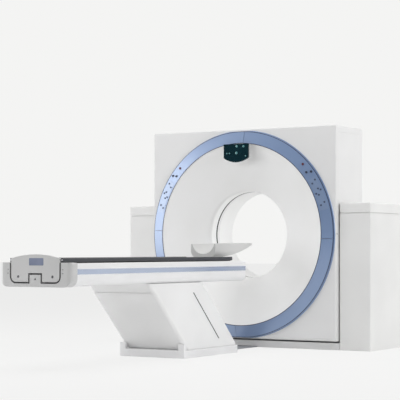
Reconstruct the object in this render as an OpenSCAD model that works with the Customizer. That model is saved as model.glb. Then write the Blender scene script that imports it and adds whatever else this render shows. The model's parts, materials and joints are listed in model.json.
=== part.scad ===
// CT scanner: a tilting gantry between two side cabinets, and a patient table on a slanted lift column.
// The origin is on the floor under the isocentre. +X is to the right seen from the table, +Y runs from
// the table's foot end through the bore, and +Z is up. Depths are counted from the gantry's front face.

/* [Gantry block] */
// Height of the bore axis above the floor
iso_height = 907; // [900:1:915]
// Diameter of the patient bore
bore_diameter = 700; // [690:1:710]
// Depth of the tilting block, without the ring and the rear mouth
block_depth = 560; // [550:1:570]
// Height of the block's underside above the floor
block_bottom = 67.5; // [66:0.5:70]
// Wall of the moulded covers
cover_wall = 5; // [4:0.5:6]
// Depth of the front covers' return along the sides
front_return = 42; // [36:1:50]
// Height of the top cover's side flanges
top_cap_height = 50; // [40:1:60]
// Depth of the rear cover
rear_cover_depth = 120; // [112:1:130]
// Radius of the rear cover's upright corners
rear_corner_radius = 90; // [70:1:100]
// Radius of the block's bottom edges
belly_radius = 25; // [20:1:30]
// Radius of the block's front edges
face_edge_radius = 8; // [5:1:10]
// Joint between neighbouring covers
cover_joint = 0.6; // [0.4:0.1:0.9]
// Seam between the upper and the lower front cover
front_seam = 3; // [2:0.5:5]

/* [Ring and funnels] */
// Cover left free below the ring
ring_margin = 13.5; // [13.5:0.5:17]
// Cover left free beside the ring
ring_side_margin = 16.5; // [14:0.5:24]
// Cover left free above the ring
ring_top_margin = 23; // [20:0.5:38]
// Radial width of the coloured band
ring_band = 91; // [85:1:97]
// How far the ring's outer edge stands out of the front face
ring_proud_outer = 18; // [14:1:22]
// How far the ring's inner edge stands out of the front face
ring_proud_inner = 39; // [34:1:44]
// Wall of the ring
ring_wall = 6; // [5:0.5:8]
// Width of the collar round the ring
collar_width = 13; // [10:1:15]
// Width of the four joints across the ring
ring_joint_width = 2.5; // [1.5:0.5:4]
// Clockwise turn of the ring's joints
ring_joint_turn = 2.7; // [0:0.1:5]
// Depth at which the funnel meets the bore
lip_depth = 106; // [100:1:112]
// Radius of the lip between funnel and bore
lip_radius = 32; // [25:1:40]
// Depth of the slit in the bore
slit_depth = 196; // [190:1:202]
// Width of the slit in the bore
slit_width = 6; // [4:0.5:8]
// Length of the scan window under the slit
window_length = 40; // [30:1:60]
// Wall of the scan window
window_wall = 2; // [1.5:0.5:3]
// Radius of the rear mouth
rear_mouth_radius = 600; // [580:1:620]
// How far the rear mouth stands out of the rear face
rear_proud = 36; // [30:1:42]
// Width of the rear mouth's sloping rim
rear_rim = 52; // [45:1:60]

/* [Display and ring controls] */
// Width of the display
display_width = 227; // [210:1:240]
// Height of the display from its top to the lowest point of its arc
display_height = 147; // [140:1:155]
// Space between the display's top and the ring
display_drop = 10; // [6:1:20]
// How far the display stands out of the front face
display_proud = 92; // [85:1:100]
// Rise of the display's bottom arc
display_arc_rise = 36; // [28:1:44]
// How far the display's foot is drawn in behind the screen
display_foot_inset = 30; // [24:1:40]
// Thickness of the display's screen
display_glass_wall = 14; // [12:0.5:18]
// Diameter of a push button
button_diameter = 19; // [16:1:22]
// Travel of a push button
button_travel = 3; // [2:0.5:4]
// Running clearance round a button
button_clearance = 0.4; // [0.2:0.1:0.6]
// How far a pressed button still stands out of the ring
button_proud = 2; // [1.5:0.5:4]
// First angle of the film keypad from the vertical
keypad_start = 56; // [55:0.5:58]
// Angle that the film keypad covers
keypad_sweep = 20; // [18:0.5:22]
// Thickness of the film keypad
keypad_wall = 1.6; // [1:0.2:3]
// Margin of the keypad inside the band
keypad_margin = 12; // [8:1:16]
// Diameter of a film key
film_key_diameter = 15; // [12:1:18]
// Height of a film key
film_key_height = 2; // [1.5:0.5:3]

/* [Gantry inside] */
// Depth of the rotor plate's front
rotor_depth = 330; // [326:1:334]
// Thickness of the rotor plate
rotor_wall = 30; // [26:1:34]
// Outer radius of the rotor plate
rotor_radius = 690; // [680:1:700]
// Inner radius of the rotor plate
rotor_inner_radius = 405; // [400:1:415]
// Space between the rotor plate and the tilt frame
frame_gap = 20; // [16:1:24]
// Thickness of the tilt frame
frame_wall = 50; // [45:1:55]
// How far the tilt frame's rim lies inside the ring's outer edge
frame_margin = 26; // [22:0.5:32]
// Outer radius of the rotor's bearing ring
bearing_radius = 480; // [470:1:490]
// Radial wall of the rotor's bearing ring
bearing_wall = 40; // [34:1:44]
// Radial clearance of the rotor's bearing
bearing_clearance = 0.1; // [0.05:0.05:0.1]
// Outer radius of the slip ring
slip_ring_radius = 660; // [650:1:670]
// Radial width of the slip ring
slip_ring_band = 60; // [50:1:70]
// Thickness of the slip ring
slip_ring_wall = 12; // [10:1:14]
// Radius of the X-ray tube's housing
tube_radius = 95; // [88:1:100]
// Distance of the X-ray tube from the bore axis
tube_orbit = 560; // [555:1:570]
// Length of the X-ray tube's housing
tube_length = 220; // [200:1:230]
// Radial size of the collimator
collimator_height = 55; // [45:1:58]
// Width of the collimator
collimator_width = 180; // [160:1:200]
// Length of the collimator and of the detector along the bore
detector_length = 100; // [90:1:110]
// Radial thickness of the detector
detector_wall = 60; // [50:1:66]
// Half the angle that the detector spans at the X-ray tube
detector_half_fan = 27; // [24:1:28]
// Width of a generator box
generator_width = 210; // [190:1:220]
// Height of a generator box
generator_height = 300; // [280:1:310]
// Depth of a generator box along the bore
generator_length = 190; // [170:1:200]
// Radius of the drive pulley
pulley_radius = 60; // [55:1:65]
// How far the drive pulley's axis lies inside the tilt frame's rim along X and Z
pulley_inset = 180; // [170:1:190]
// Width of the drive belt
belt_width = 20; // [16:1:24]
// Thickness of the drive belt
belt_wall = 4; // [3:0.5:5]
// Clearance between the belt and what it runs on
belt_clearance = 0.3; // [0.2:0.1:0.5]
// Radius of the drive motor
motor_radius = 65; // [60:1:70]
// Length of the drive motor
motor_length = 112; // [100:1:114]
// Radius of the pulley's shaft
shaft_radius = 15; // [12:1:18]

/* [Tilt bearings and side cabinets] */
// Radius of the trunnions
trunnion_radius = 60; // [55:1:65]
// Radial clearance of the trunnions in their bushes
trunnion_clearance = 0.1; // [0.05:0.05:0.1]
// Radial wall of the bushes
bush_wall = 18; // [14:1:22]
// Free space between the block and each side cabinet
cabinet_gap = 9.5; // [7:0.5:12]
// Width of a side cabinet
cabinet_width = 263; // [255:1:275]
// Height of a side cabinet
cabinet_height = 1149; // [1140:1:1160]
// Depth at which a side cabinet starts behind the front face
cabinet_setback = 44; // [40:1:48]
// Depth of a side cabinet
cabinet_depth = 590; // [580:1:600]
// Height of a side cabinet's cap
cabinet_cap = 76; // [70:1:82]
// Height of the groove under the cap
cabinet_groove = 7; // [5:1:9]
// Depth of the groove under the cap
cabinet_groove_depth = 9; // [7:1:12]
// Radius of a side cabinet's upright edges
cabinet_edge_radius = 9; // [6:1:12]
// Wall of a side cabinet
cabinet_wall = 4; // [3:0.5:5]
// Thickness of a tilt stand
stand_wall = 70; // [60:1:76]
// Space between the cabinet's inner wall and the tilt stand
stand_gap = 20; // [15:1:25]
// Width of a tilt stand's foot
stand_foot = 380; // [360:1:400]
// Radius of a tilt stand's head
stand_head_radius = 110; // [102:1:120]
// Reach of a tilt stand's foot plate beyond the stand
stand_flange = 60; // [50:1:70]
// Thickness of a tilt stand's foot plate
stand_flange_wall = 22; // [18:1:26]

/* [Base] */
// Thickness of the base plates
base_plate_wall = 10; // [8:1:11]
// Clearance of the base plate inside the cabinets
base_clearance = 2; // [1.5:0.5:3]
// Clearance between the swinging block and the plinth
swing_clearance = 6; // [5:0.5:8]
// Height of the front plinth
plinth_height = 54; // [50:1:56]
// Thickness of the plinths along the bore
plinth_wall = 22; // [18:1:26]
// Width of the tie plate between gantry and table
tie_width = 240; // [200:1:280]
// Radius of the floor anchor holes
anchor_radius = 9; // [7:0.5:11]
// Spacing of the gantry's anchor holes across the machine
gantry_anchor_x = 2120; // [2100:5:2140]
// Spacing of the gantry's anchor holes along the machine
gantry_anchor_y = 480; // [460:5:500]
// Spacing of the table's anchor holes across the machine
table_anchor_x = 400; // [380:5:420]
// Spacing of the table's anchor holes along the machine
table_anchor_y = 560; // [540:5:580]

/* [Table pedestal] */
// Angle between the column and the vertical
column_lean = 46; // [45:0.5:47]
// Width of the fixed column shell
column_width = 528; // [520:1:534]
// Horizontal length of the fixed column shell
column_length = 740; // [720:1:760]
// Radius of the column's edges
column_edge_radius = 26; // [20:1:30]
// Wall of the column shells
column_wall = 3; // [2.5:0.5:4]
// Clearance between the two column shells
column_clearance = 1; // [0.8:0.1:1.5]
// Height of the fixed shell's top above the floor
column_shell_top = 478; // [470:1:484]
// Distance from the gantry's front face to the column's middle at its reference height
column_distance = 1144; // [1130:1:1160]
// Height at which the column's distance is measured
column_reference = 300; // [290:1:310]
// Height of the moving shell's lower end above the floor
inner_shell_bottom = 210; // [200:1:230]
// Height of the pedestal base
pedestal_height = 56; // [52:1:60]
// How far the pedestal base stands out round the column
pedestal_margin = 14; // [10:1:18]
// Shadow gap between the base and the column shell
pedestal_gap = 6; // [4:1:8]
// Height of the base's corner horns
horn_height = 48; // [40:1:54]
// Width of the seals in the column's sides
seal_width = 9; // [7:1:11]
// Lower end of the seals above the floor
seal_bottom = 120; // [110:1:130]
// Upper end of the seals under the fixed shell's top
seal_top_margin = 6; // [4:1:12]
// Distance of the seals behind the column's middle, level with it
seal_offset = 150; // [140:1:160]
// Radius of the lift actuator
actuator_radius = 45; // [40:1:50]
// Radius of the actuator's rod
rod_radius = 25; // [20:1:28]
// Clearance of the actuator's rod
rod_clearance = 0.3; // [0.2:0.1:0.5]

/* [Table body] */
// Distance from the gantry's front face to the trough's head end
table_gap = 404; // [395:1:415]
// Length of the trough
trough_length = 2222; // [2200:1:2240]
// Width of the trough
trough_width = 530; // [524:1:536]
// Height of the trough's top above the floor
trough_top = 697; // [694:1:698]
// Height of the trough's belly above the floor
trough_bottom = 545; // [542:1:547]
// Width of each side beam of the trough
side_beam = 40; // [35:1:42]
// Floor of the trough
trough_floor = 8; // [6:1:10]
// Radius of the trough's lower corners
trough_corner = 42; // [35:1:45]
// Height of the coloured side stripe
stripe_height = 34; // [30:1:38]
// Height of the stripe's middle above the floor
stripe_middle = 641; // [636:1:646]
// How deep the stripe is let in
stripe_depth = 3; // [2:0.5:4]
// How far the stripe stands out
stripe_proud = 1; // [0.5:0.5:2]
// Stripe's distance from the foot cap
stripe_foot_margin = 14; // [10:1:20]
// Width of the guide beam
beam_width = 84; // [76:1:88]
// Height of the guide beam
beam_height = 66; // [60:1:68]
// Depth of the foot cap along the table
foot_cap_depth = 74; // [68:1:80]
// Half width of the foot cap
foot_cap_half_width = 285; // [282:1:290]
// Drop of the foot cap under the trough's belly
foot_cap_drop = 3; // [2:1:6]
// Radius of the foot cap's upright edges
foot_cap_edge = 30; // [24:1:36]
// Radius of the foot cap's corners seen from the foot end
foot_cap_corner = 58; // [50:1:66]

/* [Tabletop] */
// Width of the tabletop between its rails
tabletop_width = 402; // [396:1:408]
// Length of the tabletop
tabletop_length = 2160; // [2140:1:2180]
// Height of the tabletop's rim above the floor
tabletop_rim = 728; // [727:1:731]
// Dish of the tabletop's upper side
tabletop_dish = 40; // [34:1:44]
// Height of the tabletop's underside above the floor
tabletop_underside = 662; // [660:1:664]
// Height of a side rail
rail_height = 26; // [24:1:27]
// Width of a side rail
rail_width = 14; // [12:1:16]
// Length of the carriage under the tabletop
carriage_length = 600; // [560:10:630]
// Running clearance of the carriage on the guide beam
carriage_clearance = 0.3; // [0.2:0.1:0.5]
// Thickness of the end plate
end_plate_wall = 22; // [18:1:24]
// Half width of the end plate
end_plate_half_width = 196; // [190:1:200]
// Height of the end plate's middle above the tabletop's rim
end_plate_rise = 26; // [22:1:30]
// Clearance round the end plate in the foot cap
end_plate_clearance = 4; // [3:0.5:5]
// Height of the end plate's feet above the trough's floor
end_plate_lift = 22; // [18:1:26]
// Half width of the notch between the end plate's feet
notch_half_width = 56; // [54:1:60]

/* [Head end] */
// Half width of the head holder
holder_half_width = 110; // [104:1:116]
// Length of the head holder's foot on the tabletop
holder_overlap = 77; // [70:1:90]
// Length of the head holder beyond the tabletop's head end
holder_reach = 499; // [490:1:510]
// Height of the head holder's rim above the tabletop's rim
holder_height = 100; // [94:1:106]
// Rise of the head holder's rim towards its tip
holder_rise = 10; // [4:1:14]
// Wall of the head holder
holder_wall = 10; // [8:1:12]
// Radius of the head holder's lower edges
holder_edge_radius = 46; // [36:1:56]
// Gap between the head holder's foot and the dish of the tabletop
holder_gap = 0.3; // [0.3:0.05:0.5]

/* [Hidden] */

front_y = -block_depth / 2;
rear_y = block_depth / 2;
block_drop = iso_height - block_bottom;
ring_outer = block_drop - ring_margin;
half_block = ring_outer + ring_side_margin;
block_top = iso_height + ring_outer + ring_top_margin;
return_y = front_y + front_return;
rear_cover_y = rear_y - rear_cover_depth;
top_cap_z = block_top - top_cap_height;
lip_overlap = 12;
bore_radius = bore_diameter / 2;
ring_inner = ring_outer - ring_band;
ring_lean = atan((ring_proud_inner - ring_proud_outer) / ring_band);
cover_opening = ring_outer - 4 * ring_wall;
funnel_flange = cover_opening + 10;
display_top = ring_inner - display_drop;
frame_radius = ring_outer - frame_margin;
pulley_offset = frame_radius - pulley_inset;
screen_back = front_y - display_proud + display_glass_wall;
lip_y = front_y + lip_depth;
slit_y = front_y + slit_depth;
window_y = slit_y + slit_width;
window_end = window_y + window_length;
rear_lip_y = -lip_y;
mouth_direction = atan2(lip_y - front_y + ring_proud_inner, bore_radius - ring_inner);
liner_y = lip_y + lip_radius * tan(mouth_direction / 2 - 45);
rear_mouth_y = rear_y + rear_proud;
swing_radius = belly_radius + sqrt(pow(block_drop - belly_radius, 2) + pow(rear_y - belly_radius, 2));
rotor_y = front_y + rotor_depth;
rotor_back = rotor_y + rotor_wall;
frame_y = rotor_back + frame_gap;
frame_back = frame_y + frame_wall;
bearing_inner = bearing_radius - bearing_wall;
belt_radius = rotor_radius - belt_wall - belt_clearance;
arm_wall = 30;
arm_reach = half_block - cover_wall;
cabinet_x = half_block + cabinet_gap;
cabinet_end = cabinet_x + cabinet_width;
cabinet_y = front_y + cabinet_setback;
cabinet_back = cabinet_y + cabinet_depth;
cabinet_body_top = cabinet_height - cabinet_cap - cabinet_groove;
stand_x = cabinet_x + cabinet_wall + stand_gap;
bush_radius = trunnion_radius + trunnion_clearance;
base_x = cabinet_end - cabinet_wall - base_clearance;
base_y = cabinet_y + plinth_wall;
base_back = cabinet_back - cabinet_wall - base_clearance;
column_y = front_y - column_distance;
column_slope = tan(column_lean);
column_depth = column_length * cos(column_lean);
shell_bottom = pedestal_height + pedestal_gap;
horn_top = pedestal_height + horn_height;
pedestal_y = column_at(horn_top) - column_length / 2 - pedestal_margin;
pedestal_end = column_at(pedestal_height) + column_length / 2 - pedestal_margin;
pedestal_middle = (pedestal_y + pedestal_end) / 2;
slide_inset = column_wall + column_clearance;
trough_y = front_y - table_gap - trough_length;
trough_end = trough_y + trough_length;
channel_half = trough_width / 2 - side_beam;
channel_floor = trough_bottom + trough_floor;
foot_y = trough_y - foot_cap_depth;
beam_y = foot_y + 32;
tabletop_half = tabletop_width / 2;
tabletop_y = foot_y + 17;
tabletop_end = tabletop_y + tabletop_length;
dish_radius = (pow(tabletop_half, 2) + pow(tabletop_dish, 2)) / (2 * tabletop_dish);
dish_z = tabletop_rim - tabletop_dish + dish_radius;
underside_radius = dish_z - tabletop_underside;
plate_bottom = channel_floor + end_plate_lift;
notch_top = channel_floor + beam_height + 13;
holder_y = tabletop_end - holder_overlap;
holder_top = tabletop_rim + holder_height + holder_rise;

white = [0.92, 0.92, 0.91];
blue = [0.60, 0.66, 0.80];
grey = [0.72, 0.72, 0.73];
dark = [0.16, 0.17, 0.20];
steel = [0.62, 0.63, 0.66];
copper = [0.72, 0.45, 0.28];

// Middle of the slanted column at height z
function column_at(z) = column_y - (z - column_reference) * column_slope;

// Point of an arc, for outlines that are turned round the bore
function arc_point(c, r, a) = [c[0] + r * cos(a), c[1] + r * sin(a)];

// Turns a drawing of radius and depth round the bore axis
module round_bore(angle = 360, start = 0) {
    translate([0, 0, iso_height]) rotate([-90, 0, 0])
        rotate_extrude(angle = angle, start = start, $fn = 180) children();
}

// Disc or tube along the bore axis
module disc_y(r, y0, y1, fn = 96) {
    translate([0, y0, iso_height]) rotate([-90, 0, 0]) cylinder(r = r, h = y1 - y0, $fn = fn);
}

module ring_y(r0, r1, y0, y1) {
    difference() {
        disc_y(r1, y0, y1, 180);
        disc_y(r0, y0 - 1, y1 + 1, 180);
    }
}

// Bar along X between two distances, on both sides or on one
module bar_x(r, x0, x1, y, z) {
    translate([x0, y, z]) rotate([0, 90, 0]) cylinder(r = r, h = x1 - x0, $fn = r > 500 ? 360 : 72);
}

module box(x0, x1, y0, y1, z0, z1) {
    translate([x0, y0, z0]) cube([x1 - x0, y1 - y0, z1 - z0]);
}

// Rectangle with four radii: lower left, lower right, upper right, upper left
module soft_rect(x0, x1, y0, y1, r) {
    difference() {
        translate([x0, y0]) square([x1 - x0, y1 - y0]);
        if (r[0] > 0) corner_cut(x0, y0, 1, 1, r[0]);
        if (r[1] > 0) corner_cut(x1, y0, -1, 1, r[1]);
        if (r[2] > 0) corner_cut(x1, y1, -1, -1, r[2]);
        if (r[3] > 0) corner_cut(x0, y1, 1, -1, r[3]);
    }
}

module corner_cut(x, y, sx, sy, r) {
    translate([x, y]) scale([sx, sy]) difference() {
        translate([-1, -1]) square([r + 1, r + 1]);
        translate([r, r]) circle(r = r, $fn = 48);
    }
}

// Extrudes a drawing of (x, z) along Y
module along_y(y0, y1) {
    translate([0, y1, 0]) rotate([90, 0, 0]) linear_extrude(height = y1 - y0) children();
}

// Extrudes a drawing of (y, z) along X
module along_x(x0, x1) {
    translate([x0, 0, 0]) rotate([90, 0, 90]) linear_extrude(height = x1 - x0) children();
}

// Extrudes a drawing of (x, y) along Z
module along_z(z0, z1) {
    translate([0, 0, z0]) linear_extrude(height = z1 - z0) children();
}

module both_sides() {
    children();
    mirror([1, 0, 0]) children();
}

// The tilting block, drawn in by the same distance all round
module block_form(t) {
    belly = belly_radius - t;
    face = max(face_edge_radius - t, 0.5);
    corner = rear_corner_radius - t;
    intersection() {
        along_x(-half_block + t, half_block - t)
            soft_rect(front_y + t, rear_y - t, block_bottom + t, block_top - t,
                [belly, belly, 2 * face, face]);
        along_z(block_bottom, block_top)
            soft_rect(-half_block + t, half_block - t, front_y + t, rear_y - t,
                [face, face, corner, corner]);
        along_y(front_y, rear_y)
            soft_rect(-half_block + t, half_block - t, block_bottom + t, block_top - t,
                [face, face, face, face]);
    }
}

// Part of the block's skin inside one region
module block_skin(x0, x1, y0, y1, z0, z1) {
    intersection() {
        difference() {
            block_form(0);
            block_form(cover_wall);
        }
        box(x0, x1, y0, y1, z0, z1);
    }
}

// Rebate inside the skin, on which the neighbouring covers rest
module block_rebate(y0, y1) {
    intersection() {
        difference() {
            block_form(cover_wall);
            block_form(2 * cover_wall);
        }
        box(-half_block, half_block, y0, y1, block_bottom, block_top);
    }
}

// Floor plates of the gantry and the table with the tie plate between them
module base_frame() {
    color(steel) difference() {
        union() {
            box(-base_x, base_x, base_y, base_back, 0, base_plate_wall);
            box(-tie_width / 2, tie_width / 2, pedestal_end - 2, base_y + 1, 0, base_plate_wall - 2);
            box(-column_width / 2, column_width / 2, pedestal_y + 8, pedestal_end - 1, 0, base_plate_wall);
        }
        for (x = [-1, 1], y = [-1, 1]) {
            translate([x * gantry_anchor_x / 2, y * gantry_anchor_y / 2 + (base_y + base_back) / 2, -1])
                cylinder(r = anchor_radius, h = base_plate_wall + 2, $fn = 32);
            translate([x * table_anchor_x / 2, y * table_anchor_y / 2 + pedestal_middle, -1])
                cylinder(r = anchor_radius, h = base_plate_wall + 2, $fn = 32);
        }
    }
}

// Low plinths between the cabinets, hollowed for the swing of the block
module plinth_cover() {
    color(white) difference() {
        union() {
            box(-cabinet_x, cabinet_x, cabinet_y, base_y, 0, plinth_height);
            box(-cabinet_x, cabinet_x, -cabinet_y - plinth_wall, -cabinet_y, base_plate_wall, plinth_height);
        }
        bar_x(swing_radius + swing_clearance, -cabinet_x - 1, cabinet_x + 1, 0, iso_height);
        box(-tie_width / 2 - 1, tie_width / 2 + 1, cabinet_y - 1, base_y + 1, -1, base_plate_wall - 1);
    }
}

// Welded stand that carries one bush
module tilt_stand() {
    x0 = stand_x;
    color(steel) difference() {
        union() {
            along_x(x0, x0 + stand_wall) {
                polygon([[-stand_foot / 2, base_plate_wall], [stand_foot / 2, base_plate_wall],
                    [stand_head_radius, iso_height], [-stand_head_radius, iso_height]]);
                translate([0, iso_height]) circle(r = stand_head_radius, $fn = 72);
            }
            box(x0 - 8, x0 + stand_wall + stand_flange, -stand_foot / 2, stand_foot / 2, base_plate_wall,
                base_plate_wall + stand_flange_wall);
        }
        bar_x(bush_radius + bush_wall, x0 - 1, x0 + stand_wall + 1, 0, iso_height);
        along_x(x0 - 1, x0 + stand_wall + 1)
            soft_rect(-stand_foot / 4, stand_foot / 4, iso_height * 0.2, iso_height * 0.7, [40, 40, 40, 40]);
    }
}

module tilt_stand_left() mirror([1, 0, 0]) tilt_stand();

module tilt_stand_right() tilt_stand();

// Plain bushes in which the trunnions turn
module tilt_bushes() {
    color(copper) both_sides() difference() {
        union() {
            bar_x(bush_radius + bush_wall, stand_x, stand_x + stand_wall, 0, iso_height);
            bar_x(bush_radius + bush_wall + 10, stand_x - 6, stand_x, 0, iso_height);
        }
        bar_x(bush_radius, stand_x - 7, stand_x + stand_wall + 1, 0, iso_height);
    }
}

// Outline of a side cabinet seen from above, drawn in by t
module cabinet_plan(t) {
    r = max(cabinet_edge_radius - t, 1);
    soft_rect(cabinet_x + t, cabinet_end - t, cabinet_y + t, cabinet_back - t, [r, r, r, r]);
}

// Shell round a tilt stand
module cabinet() {
    color(white) difference() {
        along_z(0, cabinet_body_top) cabinet_plan(0);
        along_z(-1, cabinet_body_top - cabinet_wall) cabinet_plan(cabinet_wall);
        along_z(cabinet_body_top - cabinet_wall - 1, cabinet_body_top + 1)
            cabinet_plan(cabinet_groove_depth + cabinet_wall);
        bar_x(trunnion_radius + 15, cabinet_x - 1, cabinet_x + cabinet_wall + 1, 0, iso_height);
        box(cabinet_x - 1, cabinet_x + cabinet_wall + 1, base_y - 1, base_back + 1, -1, base_plate_wall);
    }
}

module cabinet_right() cabinet();

module cabinet_left() mirror([1, 0, 0]) cabinet();

// Cap with a recessed neck that makes the shadow groove
module cabinet_cap() {
    color(white) difference() {
        intersection() {
            union() {
                along_z(cabinet_body_top + cabinet_groove, cabinet_height) cabinet_plan(0);
                along_z(cabinet_body_top, cabinet_height - 1) cabinet_plan(cabinet_groove_depth);
            }
            along_y(cabinet_y, cabinet_back)
                soft_rect(cabinet_x, cabinet_end, 0, cabinet_height,
                    [0, 0, cabinet_edge_radius, cabinet_edge_radius]);
            along_x(cabinet_x, cabinet_end)
                soft_rect(cabinet_y, cabinet_back, 0, cabinet_height,
                    [0, 0, cabinet_edge_radius, cabinet_edge_radius]);
        }
        along_z(cabinet_body_top - 1, cabinet_height - cabinet_wall)
            cabinet_plan(cabinet_groove_depth + cabinet_wall);
    }
}

module cabinet_cap_right() cabinet_cap();

module cabinet_cap_left() mirror([1, 0, 0]) cabinet_cap();

// Slanted bar between two heights, cut level at both ends
module slanted(t, z0, z1) {
    x = column_width / 2 - t;
    d = column_depth / 2 - t;
    r = column_edge_radius - t;
    s = (z1 - z0) / cos(column_lean) + 2 * column_length;
    intersection() {
        translate([0, column_at(z0), z0]) rotate([column_lean, 0, 0]) translate([0, 0, -column_length])
            linear_extrude(height = s) soft_rect(-x, x, -d, d, [r, r, r, r]);
        box(-column_width, column_width, -4 * column_length, column_length, z0, z1);
    }
}

// Base with a horn at each corner of the column
module pedestal_base() {
    x = column_width / 2 + pedestal_margin;
    color(white) difference() {
        union() {
            along_z(0, pedestal_height) soft_rect(-x, x, pedestal_y, pedestal_end, [24, 24, 24, 24]);
            both_sides() box(column_width / 2 - 34, x, pedestal_y, pedestal_y + 34, 1, horn_top);
        }
        slanted(-1, pedestal_height, horn_top + 1);
        box(-column_width / 2 + 2, column_width / 2 - 2, pedestal_y + 8, pedestal_end - 8, -1,
            pedestal_height - 6);
        box(-column_width / 2, column_width / 2, pedestal_y + 8, pedestal_end + 1, -1, base_plate_wall);
        column_bar(actuator_radius + 2, 0, pedestal_height + 40);
    }
}

// Fixed lower shell of the lift column
module column_shell() {
    color(grey) difference() {
        intersection() {
            union() {
                slanted(0, shell_bottom, column_shell_top);
                slanted(pedestal_gap, pedestal_height, shell_bottom + 1);
            }
            box(-column_width, column_width, -4 * column_length, pedestal_end - pedestal_margin, 0,
                iso_height);
        }
        slanted(column_wall, shell_bottom + 8, column_shell_top + 1);
        slanted(column_wall + 40, pedestal_height - 1, shell_bottom + 9);
        both_sides() seal_strip(column_wall * 0.7 + 1);
    }
}

// Strip along the column's side
module seal_strip(depth) {
    z0 = seal_bottom;
    z1 = column_shell_top - seal_top_margin;
    half = seal_width / 2 / cos(column_lean);
    translate([column_width / 2 + 1 - depth, 0, 0]) rotate([90, 0, 90]) linear_extrude(height = depth)
        polygon([[column_at(z0) + seal_offset - half, z0], [column_at(z0) + seal_offset + half, z0],
            [column_at(z1) + seal_offset + half, z1], [column_at(z1) + seal_offset - half, z1]]);
}

// Dark seals let into both sides of the fixed shell
module column_seals() {
    color(dark) both_sides() intersection() {
        seal_strip(column_wall * 0.7 + 1);
        box(0, column_width / 2, -4 * column_length, 0, 0, column_shell_top);
    }
}

// Bar along the column's axis between two heights
module column_bar(r, z0, z1) {
    translate([0, column_at(z0), z0]) rotate([column_lean, 0, 0])
        cylinder(r = r, h = (z1 - z0) / cos(column_lean), $fn = 48);
}

// Fixed tube of the lift actuator
module lift_actuator() {
    z0 = base_plate_wall;
    z1 = inner_shell_bottom + 120;
    color(steel) difference() {
        intersection() {
            column_bar(actuator_radius, z0 - 60, z1);
            box(-actuator_radius, actuator_radius, -4 * column_length, column_length, z0, iso_height);
        }
        column_bar(rod_radius + rod_clearance, z0 + 50, z1 + 60);
    }
}

module front_cover() {
    difference() {
        union() {
            block_skin(-half_block, half_block, front_y - 1, return_y, block_bottom, block_top);
            block_rebate(return_y - lip_overlap, return_y + lip_overlap);
        }
        disc_y(cover_opening, front_y - 1, front_y + 2 * cover_wall + 8, 180);
    }
}

module front_cover_upper() {
    color(white) intersection() {
        front_cover();
        box(-half_block, half_block, front_y - 1, 0, iso_height + front_seam / 2, block_top);
    }
}

module front_cover_lower() {
    color(white) intersection() {
        front_cover();
        box(-half_block, half_block, front_y - 1, 0, block_bottom, iso_height - front_seam / 2);
    }
}

module rear_cover() {
    y0 = frame_back + 1;
    color(white) difference() {
        union() {
            block_skin(-half_block, half_block, rear_cover_y, rear_y + 1, block_bottom, block_top);
            block_rebate(y0, rear_cover_y + lip_overlap);
        }
        disc_y(rear_mouth_radius + rear_rim - 20, rear_y - 20, rear_y + 1, 180);
    }
}

module side_cover(side) {
    x0 = side > 0 ? half_block - cover_wall : -half_block;
    color(white) difference() {
        block_skin(x0, x0 + cover_wall, return_y + cover_joint, rear_cover_y - cover_joint,
            block_bottom, top_cap_z - cover_joint);
        bar_x(trunnion_radius + 10, x0 - 1, x0 + cover_wall + 1, 0, iso_height);
    }
}

module side_cover_left() side_cover(-1);

module side_cover_right() side_cover(1);

module top_cover() {
    color(white) block_skin(-half_block, half_block, return_y + cover_joint, rear_cover_y - cover_joint,
        top_cap_z, block_top);
}

module belly_pan() {
    x = half_block - cover_wall - cover_joint;
    color(white) block_skin(-x, x, return_y + cover_joint, rear_cover_y - cover_joint,
        block_bottom, block_bottom + cover_wall);
}

// Coloured ring with its collar
module ring_trim() {
    y0 = front_y - ring_proud_outer;
    y1 = front_y - ring_proud_inner;
    color(blue) difference() {
        intersection() {
            round_bore() polygon([[ring_outer, front_y], [ring_outer + collar_width, front_y],
                [ring_outer + collar_width - 3, front_y - 4], [ring_outer, front_y - 6], [ring_outer, y0],
                [ring_inner, y1], [ring_inner, y1 + ring_wall],
                [ring_outer - ring_wall, y0 + ring_wall * (1 - tan(ring_lean))],
                [ring_outer - ring_wall, front_y]]);
            bar_x(swing_radius, -half_block, half_block, 0, iso_height);
        }
        for (a = [0:90:270]) translate([0, 0, iso_height]) rotate([0, a + ring_joint_turn, 0])
            translate([-ring_joint_width / 2, y1 - 1, ring_inner - 1])
                cube([ring_joint_width, ring_proud_inner - 6, ring_band + 2]);
        both_sides() button_seats();
    }
}

// Mouth with the lip that leads into the bore
module front_funnel() {
    y1 = front_y - ring_proud_inner;
    dir = mouth_direction;
    turn = dir - 90;
    c = [bore_radius + lip_radius, liner_y];
    w = cover_wall;
    color(white) round_bore() polygon(concat(
        [[ring_inner, y1]],
        [for (k = [0:6]) arc_point(c, lip_radius, 180 + turn * (1 - k / 6))],
        [for (k = [6:-1:0]) arc_point(c, lip_radius - w, 180 + turn * (1 - k / 6))],
        [[ring_inner - w, y1 + w / sin(dir - 90) - w / tan(dir)], [ring_inner - w, front_y + 2 * w],
            [funnel_flange, front_y + 2 * w], [funnel_flange, front_y + w], [ring_inner, front_y + w]]));
}

// Clear band through which the beam passes
module scan_window() {
    color(dark) round_bore() polygon([[bore_radius, window_y], [bore_radius, window_end],
        [bore_radius + window_wall, window_end], [bore_radius + window_wall, window_y + 3],
        [bore_radius + 2 * cover_wall + 2, window_y + 3], [bore_radius + 2 * cover_wall + 2, window_y]]);
}

// Front part of the bore, up to the slit, with the seat of the scan window
module front_liner() {
    w = cover_wall;
    color(white) round_bore() polygon([[bore_radius, liner_y], [bore_radius, slit_y],
        [bore_radius + w, slit_y], [bore_radius + w, window_y], [bore_radius + 2 * w, window_y],
        [bore_radius + 2 * w, slit_y - 10], [bore_radius + w, slit_y - 10], [bore_radius + w, liner_y]]);
}

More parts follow.
